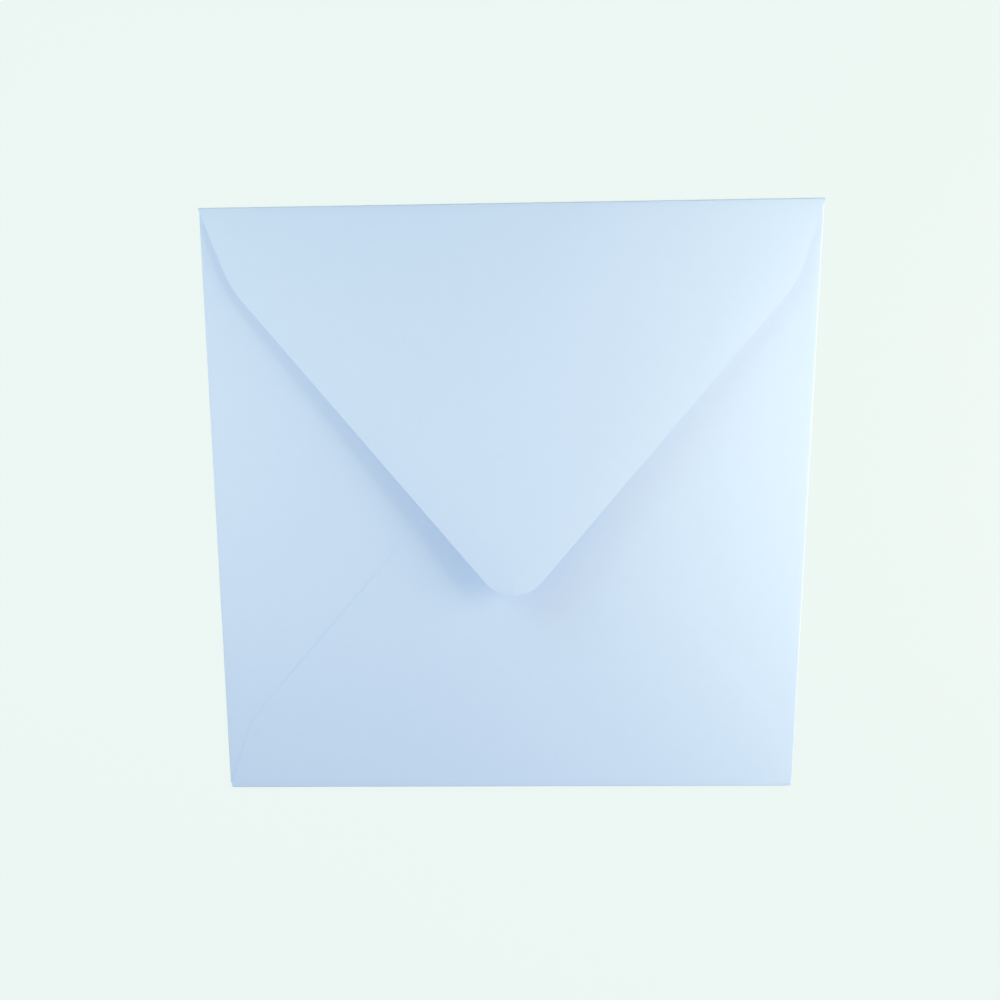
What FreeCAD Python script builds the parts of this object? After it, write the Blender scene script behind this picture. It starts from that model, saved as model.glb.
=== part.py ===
"""Square paper envelope, empty and unsealed, lying on its face with the pointed flap folded over.

One sheet of paper is cut to a blank with a flap on each side. The two side flaps are folded in, the
bottom flap is folded up over them and glued down along its edges, and the seal flap is folded over
the throat, where the spring of its fold holds it a few degrees open.

Frame, in millimetres: X runs along the seal flap's fold, Y from the bottom fold to the seal flap's
fold, Z up out of the back. The origin is under the middle of the face, which lies on Z = 0.
"""
import FreeCAD, Part

import math
import os

from FreeCAD import Placement, Rotation, Vector

# Outside size of the envelope, fold to fold, and the rounding of its two bottom corners
ENVELOPE_WIDTH = 155.0
ENVELOPE_HEIGHT = 155.0
CORNER_RADIUS = 1.3

# The sheet and its folds; a fold's radius is the one inside the bend, and flat means folded right over
PAPER = 0.15
SIDE_FOLD_RADIUS = 0.15
SEAL_FOLD_RADIUS = 0.40
FLAT_FOLD = 180.0

# How far the glued bottom flap is pressed into the side flaps under it
GLUE_BITE = 0.03

# The blank is cut back beside the seal flap's fold: the full-width band there, and the notch under it
HEAD_BAND = 0.35
FOLD_RELIEF = 0.3

# How far the back of the empty pocket stands off at its middle, where it is free to spring open
POCKET_RISE = 2.0

# Shoulders of the seal flap and the bottom flap, beside their folds
SHOULDER_LENGTH = 20.7
SHOULDER_ANGLE = 71.0
SHOULDER_RADIUS = 26.0

# Seal flap, and the angle that it stands open
SEAL_FLAP_DEPTH = 98.5
SEAL_TIP_RADIUS = 9.5
SEAL_FLAP_LIFT = 3.7

# Bottom flap
BOTTOM_FLAP_DEPTH = 97.0
BOTTOM_TIP_RADIUS = 9.5

# Side flaps: the gap between their tips, the round of a tip, and where the root stops short of the fold
SIDE_TIP_GAP = 19.4
SIDE_TIP_RADIUS = 8.0
SIDE_ROOT_SETBACK = 0.8

# Worked out from the sizes above
SIDE_FOLD_OUTER = SIDE_FOLD_RADIUS + PAPER
SIDE_FLAP_LEVEL = 2 * SIDE_FOLD_RADIUS + PAPER
BOTTOM_FLAP_LEVEL = SIDE_FLAP_LEVEL + PAPER - GLUE_BITE
BOTTOM_FOLD_OUTER = (BOTTOM_FLAP_LEVEL + PAPER) / 2
SEAL_FOLD_OUTER = SEAL_FOLD_RADIUS + PAPER
FACE_LEFT = SIDE_FOLD_OUTER - ENVELOPE_WIDTH / 2
FACE_RIGHT = -FACE_LEFT
FACE_BOTTOM = BOTTOM_FOLD_OUTER - ENVELOPE_HEIGHT / 2
FACE_TOP = ENVELOPE_HEIGHT / 2 - SEAL_FOLD_OUTER
SIDE_FOLD_TOP = FACE_TOP - HEAD_BAND - FOLD_RELIEF
SIDE_FOLD_BOTTOM = CORNER_RADIUS - ENVELOPE_HEIGHT / 2
POCKET_HEIGHT = BOTTOM_FLAP_LEVEL + PAPER + POCKET_RISE
CUTTER_HEIGHT = POCKET_HEIGHT + PAPER


def slab(left, bottom, right, top, level=0.0):
    """A rectangle of the sheet, lying flat with its underside at a level."""
    return Part.makeBox(right - left, top - bottom, PAPER, Vector(left, bottom, level))


def flap_outline(half_root, depth, tip_radius, shoulder_length=0.0):
    """The face of a pointed flap in its own plane: its root lies along X and its tip points along Y.

    From each end of the root a shoulder runs in steeply, and a straight edge then runs on, tangent to
    the round tip. A rounding joins the shoulder to the edge.
    """
    steep = math.radians(SHOULDER_ANGLE)
    corner = Vector(half_root - shoulder_length * math.cos(steep), shoulder_length * math.sin(steep), 0)
    centre = Vector(0, depth - tip_radius, 0)
    to_centre = centre - corner
    edge_angle = math.atan2(to_centre.y, -to_centre.x) + math.asin(tip_radius / to_centre.Length)
    edge = Vector(-math.cos(edge_angle), math.sin(edge_angle), 0)
    outward = Vector(math.sin(edge_angle), math.cos(edge_angle), 0)
    tangent = centre + outward * tip_radius
    root = Vector(half_root, 0, 0)

    def mirrored(point):
        return Vector(-point.x, point.y, point.z)

    tip = Part.Arc(tangent, centre + Vector(0, tip_radius, 0), mirrored(tangent))
    if shoulder_length == 0:
        right_side = [Part.LineSegment(root, tangent)]
        left_side = [Part.LineSegment(mirrored(tangent), mirrored(root))]
    else:
        turn = steep - edge_angle
        reach = SHOULDER_RADIUS * math.tan(turn / 2)
        along_shoulder = Vector(-math.cos(steep), math.sin(steep), 0)
        before = corner - along_shoulder * reach
        after = corner + edge * reach
        inward = Vector(-math.sin(steep), -math.cos(steep), 0)
        round_centre = before + inward * SHOULDER_RADIUS
        half_way = (before + after) * 0.5 - round_centre
        crown = round_centre + half_way.normalize() * SHOULDER_RADIUS
        right_side = [
            Part.LineSegment(root, before),
            Part.Arc(before, crown, after),
            Part.LineSegment(after, tangent),
        ]
        left_side = [
            Part.LineSegment(mirrored(tangent), mirrored(after)),
            Part.Arc(mirrored(after), mirrored(crown), mirrored(before)),
            Part.LineSegment(mirrored(before), mirrored(root)),
        ]
    edges = right_side + [tip] + left_side + [Part.LineSegment(mirrored(root), root)]
    return Part.Face(Part.Wire([piece.toShape() for piece in edges]))


def cutter(outline, placement):
    """An upright block with a flap's outline, laid over the back of the envelope."""
    block = outline.extrude(Vector(0, 0, CUTTER_HEIGHT))
    block.Placement = placement
    return block


def back_layer(level):
    """A layer of the sheet over the whole back, a paper's thickness thick.

    It is level and meets the folds squarely along both sides and the bottom, and it swells smoothly
    towards the throat.
    """
    across = (0, 0, 1, 0, 0)
    upward = (0, 0, 1, 1)
    last_column = len(across) - 1
    last_row = len(upward) - 1
    # A curve with these poles passes its middle at this share of the middle pole's height
    middle_share = math.comb(last_column, last_column // 2) / 2**last_column
    poles = []
    for column, sideways in enumerate(across):
        x = FACE_LEFT + (FACE_RIGHT - FACE_LEFT) * column / last_column
        line = []
        for row, up in enumerate(upward):
            y = FACE_BOTTOM + (FACE_TOP - FACE_BOTTOM) * row / last_row
            line.append(Vector(x, y, level + POCKET_RISE / middle_share * sideways * up))
        poles.append(line)
    ends_x = (last_column + 1, last_column + 1)
    ends_y = (last_row + 1, last_row + 1)
    surface = Part.BSplineSurface()
    surface.buildFromPolesMultsKnots(
        poles, ends_x, ends_y, (0, 1), (0, 1), False, False, last_column, last_row
    )
    return surface.toShape().extrude(Vector(0, 0, PAPER))


def fold(outer_radius, turn, length):
    """A bend of the sheet: it leaves the sheet at the origin along +Y and turns up and back by an angle.

    The axis runs along X, and the bend is as long as the fold.
    """
    inner_radius = outer_radius - PAPER

    def point(radius, angle):
        a = math.radians(angle)
        return Vector(0, radius * math.sin(a), outer_radius - radius * math.cos(a))

    outside = Part.Arc(point(outer_radius, 0), point(outer_radius, turn / 2), point(outer_radius, turn))
    end = Part.LineSegment(point(outer_radius, turn), point(inner_radius, turn))
    inside = Part.Arc(point(inner_radius, turn), point(inner_radius, turn / 2), point(inner_radius, 0))
    start = Part.LineSegment(point(inner_radius, 0), point(outer_radius, 0))
    section = Part.Wire([curve.toShape() for curve in (outside, end, inside, start)])
    bend = Part.Face(section).extrude(Vector(length, 0, 0))
    bend.translate(Vector(-length / 2, 0, 0))
    return bend


def silhouette():
    """The rounded outline that the folded envelope fills, as an upright block."""
    block = Part.makeBox(
        ENVELOPE_WIDTH,
        ENVELOPE_HEIGHT,
        CUTTER_HEIGHT,
        Vector(-ENVELOPE_WIDTH / 2, -ENVELOPE_HEIGHT / 2, 0),
    )
    upright = [edge for edge in block.Edges if edge.BoundBox.ZLength > CUTTER_HEIGHT / 2]
    bottom_corners = [edge for edge in upright if edge.CenterOfMass.y < 0]
    return block.makeFillet(CORNER_RADIUS, bottom_corners)


def face_panel():
    """The panel that takes the address, and the band at its head that carries the seal flap's fold."""
    panel = slab(FACE_LEFT, FACE_BOTTOM, FACE_RIGHT, FACE_TOP)
    band = slab(-ENVELOPE_WIDTH / 2, FACE_TOP - HEAD_BAND, ENVELOPE_WIDTH / 2, FACE_TOP)
    return [panel, band]


def side_flap(side):
    """A side flap with its fold; side is -1 for the left and 1 for the right."""
    length = SIDE_FOLD_TOP - SIDE_FOLD_BOTTOM
    middle = (SIDE_FOLD_TOP + SIDE_FOLD_BOTTOM) / 2
    bend = fold(SIDE_FOLD_OUTER, FLAT_FOLD, length)
    bend.Placement = Placement(
        Vector(side * FACE_RIGHT, middle, 0), Rotation(Vector(0, 0, 1), -90 * side)
    )
    depth = FACE_RIGHT - SIDE_TIP_GAP / 2
    outline = flap_outline(length / 2 - SIDE_ROOT_SETBACK, depth, SIDE_TIP_RADIUS)
    place = Placement(Vector(side * FACE_RIGHT, middle, 0), Rotation(Vector(0, 0, 1), 90 * side))
    return [bend, back_layer(SIDE_FLAP_LEVEL).common(cutter(outline, place))]


def bottom_flap():
    """The bottom flap with its fold, lying over the side flaps."""
    bend = fold(BOTTOM_FOLD_OUTER, FLAT_FOLD, ENVELOPE_WIDTH)
    bend.Placement = Placement(Vector(0, FACE_BOTTOM, 0), Rotation(Vector(0, 0, 1), 180))
    outline = flap_outline(ENVELOPE_WIDTH / 2, BOTTOM_FLAP_DEPTH, BOTTOM_TIP_RADIUS, SHOULDER_LENGTH)
    place = Placement(Vector(0, FACE_BOTTOM, 0), Rotation())
    return [bend, back_layer(BOTTOM_FLAP_LEVEL).common(cutter(outline, place))]


def seal_flap():
    """The seal flap with its fold, which has sprung a few degrees open."""
    turn = FLAT_FOLD - SEAL_FLAP_LIFT
    bend = fold(SEAL_FOLD_OUTER, turn, ENVELOPE_WIDTH)
    bend.translate(Vector(0, FACE_TOP, 0))
    outline = flap_outline(ENVELOPE_WIDTH / 2, SEAL_FLAP_DEPTH, SEAL_TIP_RADIUS, SHOULDER_LENGTH)
    sheet = outline.extrude(Vector(0, 0, PAPER))
    root = Vector(
        0,
        FACE_TOP + SEAL_FOLD_OUTER * math.sin(math.radians(turn)),
        SEAL_FOLD_OUTER - SEAL_FOLD_OUTER * math.cos(math.radians(turn)),
    )
    sheet.Placement = Placement(root, Rotation(Vector(1, 0, 0), turn))
    return [bend, sheet]


def envelope():
    """The whole folded sheet as one solid."""
    pocket = face_panel() + side_flap(-1) + side_flap(1) + bottom_flap()
    rounded = silhouette()
    pieces = [piece.common(rounded) for piece in pocket] + seal_flap()
    return pieces[0].fuse(pieces[1:]).removeSplitter()


if __name__ == "__main__":
    os.makedirs("parts", exist_ok=True)
    body = envelope()
    solid = body.Solids[0]
    print("solids", len(body.Solids), "valid", solid.isValid(), "closed", solid.isClosed())
    print("volume mm3", round(solid.Volume, 2), "faces", len(solid.Faces), "box", solid.BoundBox)
    solid.exportStep("parts/envelope.step")
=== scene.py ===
"""A square paper envelope, folded from one sheet, lying on its face with the seal flap turned down.

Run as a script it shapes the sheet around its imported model, gives it its paper, and lays it in a
plain studio. All lengths are metres. X runs along the seal flap's fold, Y from the bottom fold to the
seal flap's fold, and Z up out of the back.
"""

import math

import bmesh
import bpy
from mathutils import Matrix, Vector


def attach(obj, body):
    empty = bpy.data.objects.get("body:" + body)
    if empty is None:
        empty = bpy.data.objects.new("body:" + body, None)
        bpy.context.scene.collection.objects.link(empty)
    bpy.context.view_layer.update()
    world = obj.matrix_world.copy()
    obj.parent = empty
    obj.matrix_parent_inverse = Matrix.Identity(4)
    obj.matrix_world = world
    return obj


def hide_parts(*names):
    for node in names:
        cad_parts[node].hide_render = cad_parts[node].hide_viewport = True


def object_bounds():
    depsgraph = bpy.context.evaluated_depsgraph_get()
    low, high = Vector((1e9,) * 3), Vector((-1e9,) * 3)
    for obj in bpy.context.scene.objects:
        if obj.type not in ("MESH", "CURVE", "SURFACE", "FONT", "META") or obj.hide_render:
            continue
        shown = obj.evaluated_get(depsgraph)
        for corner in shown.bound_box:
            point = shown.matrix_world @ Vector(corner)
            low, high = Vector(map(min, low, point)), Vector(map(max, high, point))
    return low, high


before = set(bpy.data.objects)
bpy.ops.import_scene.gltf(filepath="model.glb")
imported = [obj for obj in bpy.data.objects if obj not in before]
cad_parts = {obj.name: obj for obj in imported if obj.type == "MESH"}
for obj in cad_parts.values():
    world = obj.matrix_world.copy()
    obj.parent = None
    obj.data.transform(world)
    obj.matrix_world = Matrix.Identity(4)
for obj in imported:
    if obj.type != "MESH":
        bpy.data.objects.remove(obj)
CAD_LOW, CAD_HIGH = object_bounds()

bl_info = {
    "name": "Paper Envelope",
    "version": (1, 0, 0),
    "blender": (4, 5, 0),
    "location": "3D View > Sidebar > Envelope",
    "description": "Folds a square paper envelope and lays it in a plain studio",
    "category": "Add Mesh",
}

MM = 0.001
FLAT_FOLD = math.pi
QUARTER_TURN = math.pi / 2

# Lengths below which two places count as one, for finding, cutting, welding and ending a tip.
SAME_PLACE = 0.001 * MM
CUT_TOLERANCE = 0.0001 * MM
WELD = 0.005 * MM
POINTED = 0.01 * MM

# How finely round stretches are divided, and up to which angle they are shaded smooth.
BEND_STEP = math.radians(15)
FEWEST_STEPS = 6
CORNER_CUTS = 7
SMOOTH_UP_TO = math.radians(30)

RIM = "pressed rim"
SHARE = "share"

MIDDLE = Vector((0.0, 0.0, 0.0))
# Where each lamp stands and how broad it is; all of them face the middle of the envelope.
LAMPS = {
    "window": ((0.0, -0.37, 1.14), 0.60),
    "key": ((0.220, 0.028, 0.098), 0.17),
    "fill": ((-0.100, 0.024, 0.090), 0.15),
    "rim": ((-0.42, 0.42, 0.20), 0.30),
}


def length(name, description, default):
    """A length that a user may change, in metres."""
    return bpy.props.FloatProperty(
        name=name, description=description, default=default, min=0.0, precision=5, unit="LENGTH"
    )


def angle(name, description, degrees):
    """An angle that a user may change; it is written in degrees and kept in radians."""
    return bpy.props.FloatProperty(
        name=name, description=description, default=math.radians(degrees), unit="ROTATION"
    )


def colour(name, description, default):
    """A colour that a user may change, in linear light."""
    return bpy.props.FloatVectorProperty(
        name=name, description=description, default=default, min=0.0, subtype="COLOR", size=3
    )


def amount(name, description, default):
    """A plain number that a user may change."""
    return bpy.props.FloatProperty(name=name, description=description, default=default, precision=4)


class EnvelopeSheet(bpy.types.PropertyGroup):
    """The sizes of the folded sheet."""

    width: length("Width", "Fold to fold along the seal flap's fold", CAD_HIGH.x - CAD_LOW.x)
    height: length("Height", "Bottom fold to the seal flap's fold", CAD_HIGH.y - CAD_LOW.y)
    corner: length("Corner", "Rounding of the two bottom corners", 1.3 * MM)
    paper: length("Paper", "Thickness of the sheet", 0.15 * MM)
    side_fold: length("Side fold", "Radius inside a side fold", 0.15 * MM)
    seal_fold: length("Seal fold", "Radius inside the seal flap's fold", 0.40 * MM)
    glue: length("Glue", "Film between the bottom flap and the side flaps", 0.01 * MM)
    head_band: length("Head band", "Full width of sheet under the seal flap's fold", 0.35 * MM)
    relief: length("Relief", "Notch between the head band and a side fold", 0.3 * MM)
    rise: length("Pocket rise", "How far the back of the pocket springs open", 2.0 * MM)
    shoulder_length: length("Shoulder", "Length of a flap's shoulder beside its fold", 20.7 * MM)
    shoulder_angle: angle("Shoulder angle", "Between a flap's shoulder and its fold", 71.0)
    shoulder_radius: length("Shoulder radius", "Rounding between shoulder and edge", 26.0 * MM)
    seal_depth: length("Seal flap depth", "From its fold to its tip", 98.5 * MM)
    seal_tip: length("Seal flap tip", "Radius of the seal flap's tip", 9.5 * MM)
    seal_lift: angle("Seal flap lift", "How far the seal flap stands open", 3.7)
    seal_drift: length("Seal flap drift", "How far the seal flap's tip lies off the middle", 0.8 * MM)
    roll: length("Roll", "Stretch of the seal flap that still bends beside its fold", 4.0 * MM)
    roll_angle: angle("Roll angle", "How much more the seal flap lifts where it leaves the fold", 4.0)
    droop: length("Droop", "How far the cut edges of the seal flap hang", 0.35 * MM)
    droop_width: length("Droop width", "Breadth of the strip that hangs beside a cut edge", 13.0 * MM)
    bottom_depth: length("Bottom flap depth", "From its fold to its tip", 97.0 * MM)
    bottom_tip: length("Bottom flap tip", "Radius of the bottom flap's tip", 9.5 * MM)
    rim_share: amount("Pressed rim", "Share of its thickness that the bottom flap's left rim keeps", 0.55)
    rim_start: length("Rim start", "Distance from its fold where the pressed rim starts", 10.35 * MM)
    side_gap: length("Side flap gap", "Between the tips of the two side flaps", 19.4 * MM)
    side_tip: length("Side flap tip", "Radius of a side flap's tip", 8.0 * MM)
    side_setback: length("Side flap setback", "Where its root stops short of its fold", 0.8 * MM)
    ripple: length("Ripple", "How uneven the free parts of the sheet lie", 0.22 * MM)
    ripple_size: length("Ripple size", "Width of one unevenness", 45.0 * MM)
    mesh_step: length("Mesh step", "Distance between two lines of the mesh", 2.0 * MM)


class EnvelopePaper(bpy.types.PropertyGroup):
    """The finish of the paper."""

    tint: colour("Tint", "Colour of the paper", (0.578, 0.730, 0.887))
    mottle: amount("Mottle", "How much the fibre clouds change the tint", 0.012)
    cloud_size: length("Fibre clouds", "Width of a fibre cloud", 3.5 * MM)
    fibre_size: length("Fibres", "Width of a fibre", 0.18 * MM)
    fibre_depth: length("Fibre depth", "How far the fibres stand out", 0.012 * MM)
    fibre_bump: amount("Fibre bump", "How strongly the fibres shade", 0.5)
    fibre_share: amount("Fibre share", "Share of the relief that is fibres; the rest is clouds", 0.7)
    roughness: amount("Roughness", "Roughness of the paper", 0.78)
    roughness_spread: amount("Roughness spread", "How much the fibres change the roughness", 0.10)
    sheen: amount("Sheen", "Strength of the paper's mirror reflection, where 0.5 is usual", 0.35)


class EnvelopeStudio(bpy.types.PropertyGroup):
    """The floor, the light and the camera."""

    backdrop: colour("Backdrop", "Colour of the floor and of all behind it", (0.847, 0.930, 0.896))
    floor_size: length("Floor size", "Side of the floor", 4.0)
    floor_glow: amount("Floor glow", "How evenly lit the camera sees the floor, from 0 to 1", 0.96)
    sky: colour("Sky", "Colour of the light from all around", (0.571, 0.738, 1.0))
    sky_strength: amount("Sky strength", "Strength of the light from all around", 0.21)
    window: colour("Window", "Colour of the broad lamp high above", (0.808, 0.852, 1.0))
    window_power: amount("Window power", "Power of the broad lamp high above, in watts", 7.32)
    key: colour("Key", "Colour of the lamp beside the right edge", (1.0, 0.834, 0.579))
    key_power: amount("Key power", "Power of the lamp beside the right edge, in watts", 0.545)
    fill: colour("Fill", "Colour of the lamp above the left edge", (1.0, 0.798, 0.538))
    fill_power: amount("Fill power", "Power of the lamp above the left edge, in watts", 0.050)
    rim: colour("Rim", "Colour of the lamp behind the top left corner", (0.81, 1.0, 0.91))
    rim_power: amount("Rim power", "Power of the lamp behind the top left corner, in watts", 1.10)


def outline(half_root, depth, tip_radius, step, shoulder=None):
    """One edge of a pointed flap, as (distance from the fold, half width) from the root to the tip.

    A shoulder, where there is one, is (length, angle, radius): the edge runs in steeply beside the
    fold and turns through that radius into the straight edge, which is tangent to the round tip.
    """
    corner = Vector((half_root, 0.0))
    if shoulder:
        run, steep, radius = shoulder
        corner = Vector((half_root - run * math.cos(steep), run * math.sin(steep)))
    centre = Vector((0.0, depth - tip_radius))
    reach = (centre - corner).length
    edge_angle = math.atan2(centre.y - corner.y, corner.x) + math.asin(tip_radius / reach)
    outward = Vector((math.sin(edge_angle), math.cos(edge_angle)))
    tangent = centre + outward * tip_radius

    def straight(start, end):
        count = max(1, round((end - start).length / step))
        return [start.lerp(end, i / count) for i in range(1, count + 1)]

    def round_part(middle, size, start_angle, end_angle):
        count = max(FEWEST_STEPS, round(size * abs(end_angle - start_angle) / step))
        turns = [start_angle + (end_angle - start_angle) * i / count for i in range(1, count + 1)]
        return [middle + size * Vector((math.cos(a), math.sin(a))) for a in turns]

    points = []
    if shoulder:
        cut = radius * math.tan((steep - edge_angle) / 2)
        down = Vector((-math.cos(steep), math.sin(steep)))
        inward = Vector((-math.sin(steep), -math.cos(steep)))
        before = corner - down * cut
        round_centre = before + inward * radius
        points += straight(Vector((half_root, 0.0)), before)
        points += round_part(round_centre, radius, QUARTER_TURN - steep, QUARTER_TURN - edge_angle)
    points += straight(points[-1] if points else corner, tangent)
    points += round_part(centre, tip_radius, QUARTER_TURN - edge_angle, QUARTER_TURN)
    return [(point.y, max(point.x, 0.0)) for point in points]


def width_at(rows, depth):
    """The half width of a flap at a distance from its fold."""
    last_depth, last_width = rows[0]
    for row_depth, row_width in rows:
        if row_depth > depth:
            share = (depth - last_depth) / (row_depth - last_depth) if row_depth > last_depth else 0.0
            return last_width + share * (row_width - last_width)
        last_depth, last_width = row_depth, row_width
    return 0.0


def clear_selection():
    """Leaves every object out of edit mode and nothing selected."""
    if bpy.context.object and bpy.context.object.mode != "OBJECT":
        bpy.ops.object.mode_set(mode="OBJECT")
    bpy.ops.object.select_all(action="DESELECT")


def pick(piece, wanted):
    """Selects the points of a piece in edit mode that are wanted, and the edges and faces between them."""
    bpy.ops.mesh.select_mode(type="VERT")
    bpy.ops.mesh.select_all(action="DESELECT")
    mesh = bmesh.from_edit_mesh(piece.data)
    for point in mesh.verts:
        point.select = wanted(point.co)
    mesh.select_flush_mode()
    bmesh.update_edit_mesh(piece.data)


def near(a, b):
    """Whether two lengths are the same to a micrometre."""
    return abs(a - b) < SAME_PLACE


def score(place, across):
    """Adds a line of points to the sheet where a plane crosses it."""
    bpy.ops.mesh.select_all(action="SELECT")
    bpy.ops.mesh.bisect(plane_co=place, plane_no=across, threshold=CUT_TOLERANCE)


def trim(place, outward):
    """Cuts away what lies outside a plane."""
    bpy.ops.mesh.select_all(action="SELECT")
    bpy.ops.mesh.bisect(plane_co=place, plane_no=outward, clear_outer=True, threshold=CUT_TOLERANCE)


def bend(centre, axis, turn):
    """Folds the selected edges of the sheet round an axis, clockwise as seen along it."""
    steps = max(FEWEST_STEPS, round(turn / BEND_STEP))
    bpy.ops.mesh.spin(steps=steps, angle=-turn, center=centre, axis=axis)


def draw_out(rows, root_half_width, middle, heading, across):
    """Draws a flap out of the selected fold, row by row, each as wide as the flap is there."""
    place = middle.copy()
    last_depth, last_width = 0.0, root_half_width
    for depth, half_width in rows:
        step = (depth - last_depth) * heading((depth + last_depth) / 2)
        place += step
        bpy.ops.mesh.extrude_edges_move(TRANSFORM_OT_translate={"value": step})
        ratio = half_width / last_width
        stretch = Vector((1.0, 1.0, 1.0)) + (ratio - 1.0) * across
        bpy.ops.transform.resize(value=stretch, center_override=place)
        last_depth, last_width = depth, half_width
        if half_width < POINTED:
            break


class FoldedSheet:
    """The envelope's sheet as it is folded up, in the sizes of an EnvelopeSheet."""

    def __init__(self, sizes):
        self.sizes = sizes
        # How far each fold reaches out, and how high the outer side of each folded layer lies.
        self.side_outer = sizes.side_fold + sizes.paper
        self.side_top = 2 * self.side_outer
        self.bottom_top = self.side_top + sizes.glue + sizes.paper
        self.bottom_outer = self.bottom_top / 2
        self.seal_outer = sizes.seal_fold + sizes.paper
        # Where the flat face panel ends, and where the head band and the side folds start and stop.
        self.right = sizes.width / 2 - self.side_outer
        self.bottom = self.bottom_outer - sizes.height / 2
        self.top = sizes.height / 2 - self.seal_outer
        self.band = self.top - sizes.head_band
        self.side_fold_top = self.band - sizes.relief
        self.side_fold_bottom = sizes.corner - sizes.height / 2
        # A place above this height is on the back, whose lowest layer is the side flaps.
        self.back_from = 0.9 * self.side_top
        self.piece = None

    def lay_face(self):
        """The face panel, flat on the floor, with the lines where the side folds start and stop."""
        sizes = self.sizes
        columns = round(2 * self.right / sizes.mesh_step)
        rows = round((self.top - self.bottom) / sizes.mesh_step)
        bpy.ops.mesh.primitive_grid_add(x_subdivisions=columns, y_subdivisions=rows, size=1.0)
        self.piece = bpy.context.object
        self.piece.name = "folded_sheet"
        bpy.ops.object.mode_set(mode="EDIT")
        bpy.ops.mesh.flip_normals()
        bpy.ops.transform.resize(value=(2 * self.right, self.top - self.bottom, 1.0))
        bpy.ops.transform.translate(value=(0.0, (self.top + self.bottom) / 2, 0.0))
        for line in (self.side_fold_bottom, self.side_fold_top, self.band):
            score((0.0, line, 0.0), (0.0, 1.0, 0.0))

    def widen_band(self):
        """The head band reaches out to the full width, over the side folds."""
        for side in (-1, 1):
            pick(
                self.piece,
                lambda p: near(p.x, side * self.right) and p.y > self.band - SAME_PLACE and near(p.z, 0.0),
            )
            bpy.ops.mesh.extrude_edges_move(
                TRANSFORM_OT_translate={"value": (side * self.side_outer, 0.0, 0.0)}
            )

    def fold_side(self, side):
        """A side flap, folded in and drawn out to its tip."""
        sizes = self.sizes
        low, high = self.side_fold_bottom, self.side_fold_top
        middle = (low + high) / 2
        pick(
            self.piece,
            lambda p: near(p.x, side * self.right)
            and low - SAME_PLACE < p.y < high + SAME_PLACE
            and near(p.z, 0.0),
        )
        bend((side * self.right, middle, self.side_outer), (0.0, -side, 0.0), FLAT_FOLD)
        half_root = (high - low) / 2 - sizes.side_setback
        depth = self.right - sizes.side_gap / 2
        draw_out(
            outline(half_root, depth, sizes.side_tip, sizes.mesh_step),
            (high - low) / 2,
            Vector((side * self.right, middle, self.side_top)),
            lambda depth: Vector((-side, 0.0, 0.0)),
            Vector((0.0, 1.0, 0.0)),
        )

    def fold_bottom(self):
        """The bottom flap, folded up over the side flaps, with its left rim pressed thinner."""
        sizes = self.sizes
        pick(self.piece, lambda p: near(p.y, self.bottom) and near(p.z, 0.0))
        bend((0.0, self.bottom, self.bottom_outer), (-1.0, 0.0, 0.0), FLAT_FOLD)
        rows = outline(
            sizes.width / 2, sizes.bottom_depth, sizes.bottom_tip, sizes.mesh_step, self.shoulder()
        )
        draw_out(
            rows,
            self.right,
            Vector((0.0, self.bottom, self.bottom_top)),
            lambda depth: Vector((0.0, 1.0, 0.0)),
            Vector((1.0, 0.0, 0.0)),
        )
        pick(
            self.piece,
            lambda p: near(p.z, self.bottom_top)
            and p.y > self.bottom + sizes.rim_start
            and -p.x > width_at(rows, p.y - self.bottom) - POINTED,
        )
        bpy.ops.object.vertex_group_assign_new()
        self.piece.vertex_groups.active.name = RIM
        sunk = (1.0 - sizes.rim_share) * sizes.paper
        bpy.ops.transform.translate(value=(0.0, 0.0, -sunk))

    def fold_seal(self):
        """The seal flap, turned down over the back and sprung a few degrees open."""
        sizes = self.sizes
        first_point = len(self.piece.data.vertices)
        turn = FLAT_FOLD - sizes.seal_lift - sizes.roll_angle
        pick(self.piece, lambda p: near(p.y, self.top) and near(p.z, 0.0))
        bend((0.0, self.top, self.seal_outer), (1.0, 0.0, 0.0), turn)
        root = Vector(
            (
                0.0,
                self.top + self.seal_outer * math.sin(turn),
                self.seal_outer - self.seal_outer * math.cos(turn),
            )
        )

        def heading(depth):
            """Which way the flap runs: steeper over the roll, and sideways over the shoulder."""
            still_bending = max(0.0, 1.0 - depth / sizes.roll)
            lift = sizes.seal_lift + sizes.roll_angle * still_bending
            sideways = sizes.seal_drift / sizes.shoulder_length if depth < sizes.shoulder_length else 0.0
            return Vector((sideways, -math.cos(lift), math.sin(lift)))

        rows = outline(
            sizes.width / 2, sizes.seal_depth, sizes.seal_tip, sizes.mesh_step, self.shoulder()
        )
        draw_out(rows, sizes.width / 2, root, heading, Vector((1.0, 0.0, 0.0)))

        def hang(point):
            """How much of the droop a point gets: all at a cut edge, none further in or at the fold."""
            depth = self.top - point.co.y
            if point.index < first_point or depth < 0.0:
                return 0.0
            off_fold = min(depth / sizes.shoulder_length, 1.0)
            from_middle = abs(point.co.x - sizes.seal_drift * off_fold)
            beside_edge = 1.0 - (width_at(rows, depth) - from_middle) / sizes.droop_width
            return off_fold * min(max(beside_edge, 0.0), 1.0) ** 2

        self.displace(hang, -sizes.droop)

    def shoulder(self):
        """The shoulder that the seal flap and the bottom flap share."""
        sizes = self.sizes
        return sizes.shoulder_length, sizes.shoulder_angle, sizes.shoulder_radius

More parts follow.
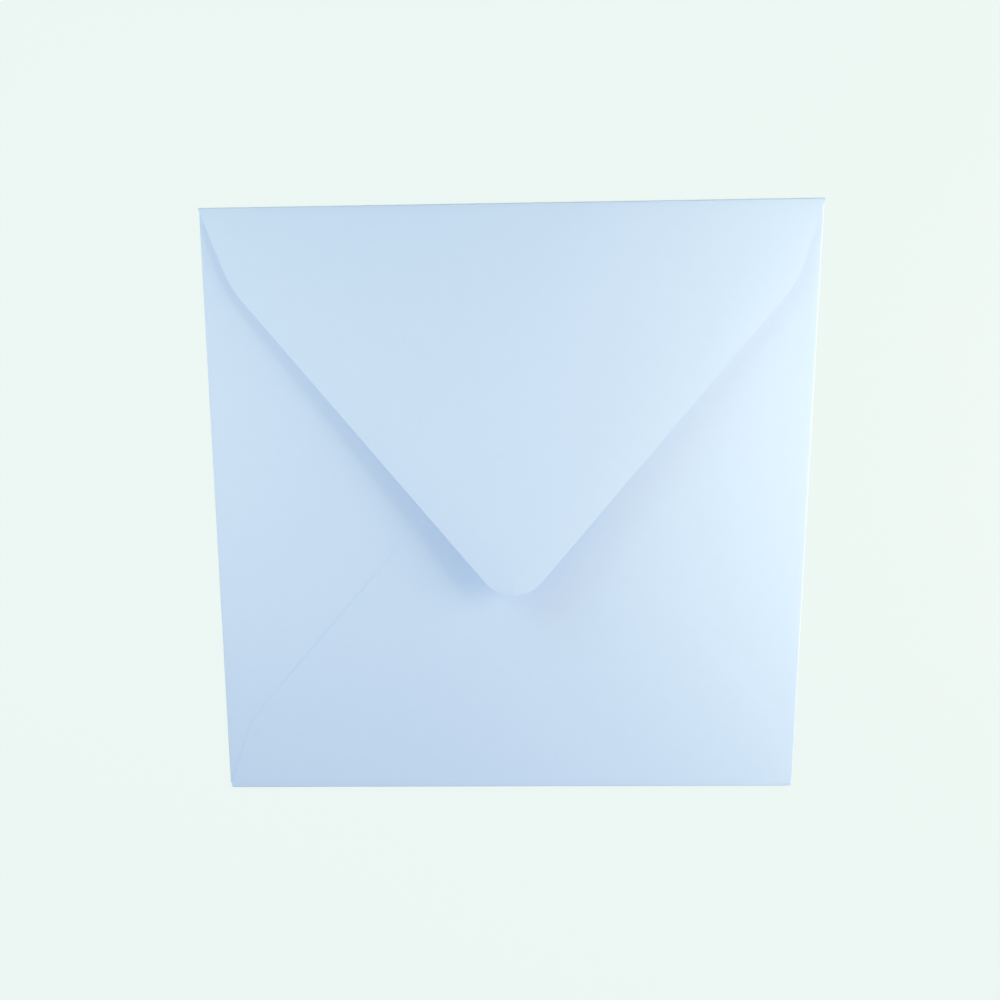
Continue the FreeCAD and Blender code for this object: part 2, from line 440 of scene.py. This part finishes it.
    def round_corners(self):
        """Rounds the two bottom corners through all the layers, cut by cut."""
        sizes = self.sizes
        for side in (-1, 1):
            centre = Vector(
                (side * (sizes.width / 2 - sizes.corner), sizes.corner - sizes.height / 2, 0.0)
            )
            for cut in range(1, CORNER_CUTS):
                a = QUARTER_TURN * cut / CORNER_CUTS
                outward = Vector((side * math.cos(a), -math.sin(a), 0.0))
                trim(centre + sizes.corner * outward, outward)

    def swell_share(self, place):
        """How much of the pocket's rise a place on the back gets: none at the folds, all at the mouth."""
        if not self.is_back(place):
            return 0.0
        across = (place.x + self.right) / (2 * self.right)
        upward = (place.y - self.bottom) / (self.top - self.bottom)
        across = min(max(across, 0.0), 1.0)
        upward = min(max(upward, 0.0), 1.0)
        return (4 * across * (1 - across)) ** 2 * upward**2 * (3 - 2 * upward)

    def displace(self, share, strength, texture=None):
        """Lifts each point by its share of a height, or of an uneven height where there is a texture."""
        piece = self.piece
        bpy.ops.object.mode_set(mode="OBJECT")
        group = piece.vertex_groups.new(name=SHARE)
        for point in piece.data.vertices:
            group.add([point.index], share(point), "REPLACE")
        lift = piece.modifiers.new("lift", "DISPLACE")
        lift.direction = "Z"
        lift.strength = strength
        lift.vertex_group = group.name
        lift.mid_level = 0.5 if texture else 0.0
        lift.texture = texture
        bpy.ops.object.modifier_apply(modifier=lift.name)
        piece.vertex_groups.remove(piece.vertex_groups[SHARE])
        bpy.ops.object.mode_set(mode="EDIT")

    def is_back(self, place):
        """Whether a place lies on the back of the pocket, or on the seal flap once that is folded."""
        return place.z > self.back_from

    def swell(self):
        """Springs the back of the pocket open."""
        self.displace(lambda point: self.swell_share(point.co), self.sizes.rise)

    def unsettle(self):
        """Gives the back and the seal flap the slight unevenness of a sheet that lies free."""
        sizes = self.sizes
        waves = bpy.data.textures.new("paper waves", "CLOUDS")
        waves.noise_scale = sizes.ripple_size
        waves.noise_depth = 0
        fade = sizes.ripple_size / 2

        def share(point):
            """How much of the unevenness a point gets: none on the face or at a fold, all further in."""
            if not self.is_back(point.co):
                return 0.0
            from_side = self.right - abs(point.co.x)
            from_bottom = point.co.y - self.bottom
            from_top = self.top - point.co.y
            return min(max(min(from_side, from_bottom, from_top) / fade, 0.0), 1.0)

        self.displace(share, sizes.ripple, waves)

    def thicken(self):
        """Gives the sheet its thickness and closes its cut edges."""
        piece = self.piece
        bpy.ops.mesh.select_all(action="SELECT")
        bpy.ops.mesh.remove_doubles(threshold=WELD)
        bpy.ops.object.mode_set(mode="OBJECT")
        body = piece.modifiers.new("paper", "SOLIDIFY")
        body.thickness = self.sizes.paper
        body.vertex_group = RIM
        body.invert_vertex_group = True
        body.thickness_vertex_group = self.sizes.rim_share
        body.offset = -1.0
        body.use_even_offset = True
        body.use_quality_normals = True
        bpy.ops.object.modifier_apply(modifier=body.name)
        bpy.ops.object.shade_smooth_by_angle(angle=SMOOTH_UP_TO)

    def fold(self):
        """Folds the whole envelope and returns it."""
        self.lay_face()
        self.widen_band()
        self.fold_side(-1)
        self.fold_side(1)
        self.fold_bottom()
        self.round_corners()
        self.swell()
        self.fold_seal()
        self.unsettle()
        self.thicken()
        return self.piece


class Value:
    """A number in a shader, which adds its own nodes where it is used in a sum."""

    def __init__(self, finish, socket):
        self.finish = finish
        self.socket = socket

    def math(self, operation, first, second):
        node = self.finish.add("ShaderNodeMath", {"operation": operation}, {0: first, 1: second})
        return Value(self.finish, node.outputs[0])

    def __add__(self, other):
        return self.math("ADD", self, other)

    def __radd__(self, other):
        return self.math("ADD", other, self)

    def __sub__(self, other):
        return self.math("SUBTRACT", self, other)

    def __rsub__(self, other):
        return self.math("SUBTRACT", other, self)

    def __mul__(self, other):
        return self.math("MULTIPLY", self, other)

    def __rmul__(self, other):
        return self.math("MULTIPLY", other, self)


class Finish:
    """The node tree of one material or of the world."""

    def __init__(self, tree):
        self.tree = tree
        tree.nodes.clear()

    def add(self, kind, settings=None, inputs=None):
        """Adds a node: its settings are set first, then its sockets are given values or links."""
        node = self.tree.nodes.new(kind)
        for name, value in (settings or {}).items():
            setattr(node, name, value)
        for name, value in (inputs or {}).items():
            socket = node.inputs[name]
            if isinstance(value, Value):
                self.tree.links.new(value.socket, socket)
            elif isinstance(value, bpy.types.NodeSocket):
                self.tree.links.new(value, socket)
            else:
                socket.default_value = value
        return node

    def noise(self, place, size, detail=2.0):
        """A noise from 0 to 1 whose features are about as wide as a size."""
        node = self.add(
            "ShaderNodeTexNoise", {}, {"Vector": place, "Scale": 1.0 / size, "Detail": detail}
        )
        return Value(self, node.outputs["Fac"])


def opaque(rgb):
    """A colour with its alpha."""
    return (*rgb, 1.0)


def paper_finish(paper):
    """Uncoated paper: an even tint with faint fibre clouds, and a fine fibrous surface."""
    material = bpy.data.materials.new("pale blue paper")
    material.use_nodes = True
    finish = Finish(material.node_tree)
    place = finish.add("ShaderNodeTexCoord").outputs["Object"]
    clouds = finish.noise(place, paper.cloud_size, detail=4.0)
    fibres = finish.noise(place, paper.fibre_size, detail=3.0)
    shade = 1.0 + (clouds - 0.5) * (2 * paper.mottle) + (fibres - 0.5) * paper.mottle
    tint = finish.add(
        "ShaderNodeVectorMath",
        {"operation": "SCALE"},
        {0: paper.tint, "Scale": shade},
    ).outputs[0]
    roughness = paper.roughness + (fibres - 0.5) * paper.roughness_spread
    relief = fibres * paper.fibre_share + clouds * (1.0 - paper.fibre_share)
    bump = finish.add(
        "ShaderNodeBump",
        {},
        {"Height": relief, "Strength": paper.fibre_bump, "Distance": paper.fibre_depth},
    ).outputs["Normal"]
    surface = finish.add(
        "ShaderNodeBsdfPrincipled",
        {},
        {
            "Base Color": tint,
            "Roughness": roughness,
            "Normal": bump,
            "Specular IOR Level": paper.sheen,
        },
    )
    finish.add("ShaderNodeOutputMaterial", {}, {"Surface": surface.outputs["BSDF"]})
    return material


def looked_at(finish):
    """1 where the camera sees a place, straight or in a mirror or through glass, and otherwise 0."""
    rays = finish.add("ShaderNodeLightPath")
    seen = Value(finish, rays.outputs["Is Camera Ray"])
    for way in ("Is Glossy Ray", "Is Transmission Ray"):
        seen = seen.math("MAXIMUM", seen, Value(finish, rays.outputs[way]))
    return seen


def floor_finish(studio):
    """A pale floor that the camera sees nearly evenly lit, with the envelope's shadow still on it."""
    material = bpy.data.materials.new("pale floor")
    material.use_nodes = True
    finish = Finish(material.node_tree)
    share = looked_at(finish) * studio.floor_glow
    lit = finish.add("ShaderNodeBsdfDiffuse", {}, {"Color": opaque(studio.backdrop)})
    plain = finish.add("ShaderNodeEmission", {}, {"Color": opaque(studio.backdrop), "Strength": 1.0})
    mixed = finish.add(
        "ShaderNodeMixShader", {}, {0: share, 1: lit.outputs[0], 2: plain.outputs[0]}
    )
    finish.add("ShaderNodeOutputMaterial", {}, {"Surface": mixed.outputs[0]})
    return material


def light_sky(studio):
    """Soft light from all around; the camera sees the backdrop's colour there."""
    world = bpy.data.worlds.new("studio")
    world.use_nodes = True
    finish = Finish(world.node_tree)
    soft = finish.add(
        "ShaderNodeBackground", {}, {"Color": opaque(studio.sky), "Strength": studio.sky_strength}
    )
    plain = finish.add("ShaderNodeBackground", {}, {"Color": opaque(studio.backdrop), "Strength": 1.0})
    mixed = finish.add(
        "ShaderNodeMixShader",
        {},
        {0: looked_at(finish), 1: soft.outputs[0], 2: plain.outputs[0]},
    )
    finish.add("ShaderNodeOutputWorld", {}, {"Surface": mixed.outputs[0]})
    bpy.context.scene.world = world


def add_lamp(name, place, size, power, rgb):
    """A square soft lamp that faces the middle of the envelope."""
    turned = (MIDDLE - Vector(place)).to_track_quat("-Z", "Y").to_euler()
    bpy.ops.object.light_add(type="AREA", location=place, rotation=turned)
    lamp = bpy.context.object
    lamp.name = name
    lamp.data.shape = "SQUARE"
    lamp.data.size = size
    lamp.data.energy = power
    lamp.data.color = rgb


def add_camera():
    """The camera of the photograph, above the envelope's flap and a little to the left of its middle."""
    place = (-11.81 * MM, 45.51 * MM, 259.4 * MM)
    turn = (math.radians(-10.804), math.radians(1.279), math.radians(-0.761))
    bpy.ops.object.camera_add(location=place, rotation=turn)
    camera = bpy.context.object
    camera.name = "camera"
    camera.data.sensor_width = 36.0
    camera.data.lens = 36.0
    camera.data.shift_x = 0.06
    camera.data.shift_y = 0.0257
    camera.data.clip_start = 0.01
    bpy.context.scene.camera = camera


class ENVELOPE_OT_fold(bpy.types.Operator):
    """Fold the envelope from its sheet and give it its paper"""

    bl_idname = "envelope.fold"
    bl_label = "Fold Envelope"

    def execute(self, context):
        clear_selection()
        piece = FoldedSheet(context.scene.envelope_sheet).fold()
        piece.data.materials.clear()
        piece.data.materials.append(paper_finish(context.scene.envelope_paper))
        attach(piece, "root")
        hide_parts("envelope")
        return {"FINISHED"}


class ENVELOPE_OT_studio(bpy.types.Operator):
    """Lay the floor and set up the lights and the camera"""

    bl_idname = "envelope.studio"
    bl_label = "Set Up Studio"

    def execute(self, context):
        studio = context.scene.envelope_studio
        clear_selection()
        bpy.ops.mesh.primitive_plane_add(size=studio.floor_size)
        floor = bpy.context.object
        floor.name = "floor"
        floor.data.materials.append(floor_finish(studio))
        light_sky(studio)
        for name, (place, size) in LAMPS.items():
            add_lamp(name, place, size, getattr(studio, name + "_power"), getattr(studio, name))
        add_camera()
        context.scene.view_settings.view_transform = "Standard"
        return {"FINISHED"}


class ENVELOPE_PT_panel(bpy.types.Panel):
    """The envelope's sizes, paper and studio"""

    bl_idname = "ENVELOPE_PT_panel"
    bl_label = "Paper Envelope"
    bl_space_type = "VIEW_3D"
    bl_region_type = "UI"
    bl_category = "Envelope"

    def draw(self, context):
        scene = context.scene
        steps = (
            ("envelope.fold", (scene.envelope_sheet, scene.envelope_paper)),
            ("envelope.studio", (scene.envelope_studio,)),
        )
        for operator, groups in steps:
            box = self.layout.box()
            for group in groups:
                for name in group.bl_rna.properties.keys():
                    if name not in ("rna_type", "name"):
                        box.prop(group, name)
            box.operator(operator)


GROUPS = {
    "envelope_sheet": EnvelopeSheet,
    "envelope_paper": EnvelopePaper,
    "envelope_studio": EnvelopeStudio,
}
CLASSES = (*GROUPS.values(), ENVELOPE_OT_fold, ENVELOPE_OT_studio, ENVELOPE_PT_panel)


def register():
    for each in CLASSES:
        bpy.utils.register_class(each)
    for name, group in GROUPS.items():
        setattr(bpy.types.Scene, name, bpy.props.PointerProperty(type=group))


def unregister():
    for name in GROUPS:
        delattr(bpy.types.Scene, name)
    for each in reversed(CLASSES):
        bpy.utils.unregister_class(each)


def main():
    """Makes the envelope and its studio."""
    register()
    bpy.ops.envelope.fold()
    bpy.ops.envelope.studio()
    bpy.context.view_layer.update()


if __name__ == "__main__":
    main()
